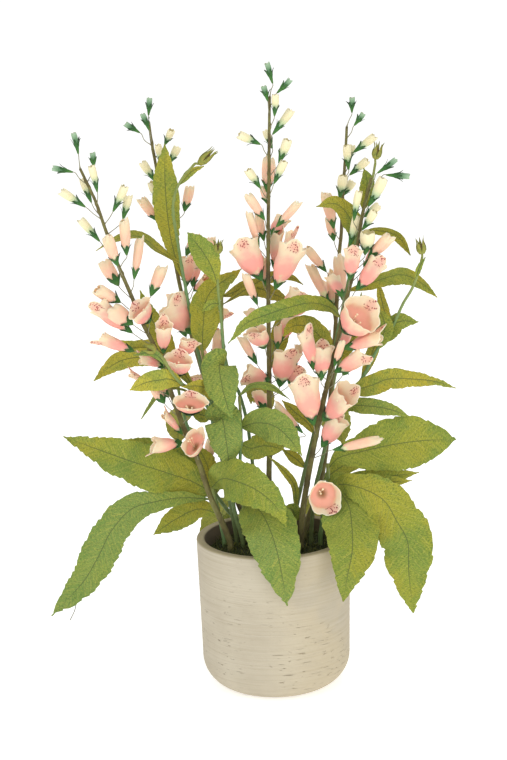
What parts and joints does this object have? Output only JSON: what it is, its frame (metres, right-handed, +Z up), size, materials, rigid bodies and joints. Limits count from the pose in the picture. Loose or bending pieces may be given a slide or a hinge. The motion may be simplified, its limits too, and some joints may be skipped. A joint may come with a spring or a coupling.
{
  "type": "potted artificial foxglove flower spikes with leafy sprays",
  "caption": "Artificial foxglove arrangement: tall wired spikes of hanging fabric bells and buds with leafy sprays, set in moss in a round stone-like pot.",
  "frame": {"origin": "centre of the pot's flat base, on the surface it stands on", "axes": "+Z up along the pot's axis; -Y is the front; +X is to the right seen from the front"},
  "size_m": [0.3959, 0.2346, 0.6055],
  "materials": {
    "stone": "matte cast stone, fine horizontal striations and small pits",
    "moss": "dark matted moss",
    "petal": "matte fabric, coral to cream",
    "leaf": "matte woven fabric, mottled green",
    "stem": "olive brown, slightly rough",
    "calyx": "deep green",
    "bud": "matte cream",
    "stamen": "cream beads",
    "leaf_stem": "green plastic sleeve",
    "wire": "thin paper-wrapped wire"
  },
  "bodies": {
    "root": {"pot": "stone", "moss": "moss", "spike_left": "petal", "spike_back_left": "petal", "spike_centre": "petal", "spike_back_right": "petal", "spike_front_right": "petal", "spray_upper_left": "leaf", "spray_centre_left": "leaf", "spray_lower_centre_left": "leaf", "spray_left": "leaf", "spray_low_left": "leaf", "spray_front": "leaf", "spray_low_right": "leaf", "spray_right": "leaf", "spray_back": "leaf", "spray_upper_right": "leaf", "spray_rear_left": "leaf", "spray_rear_right": "leaf", "spray_rear_centre": "leaf"}
  },
  "joints": []
}
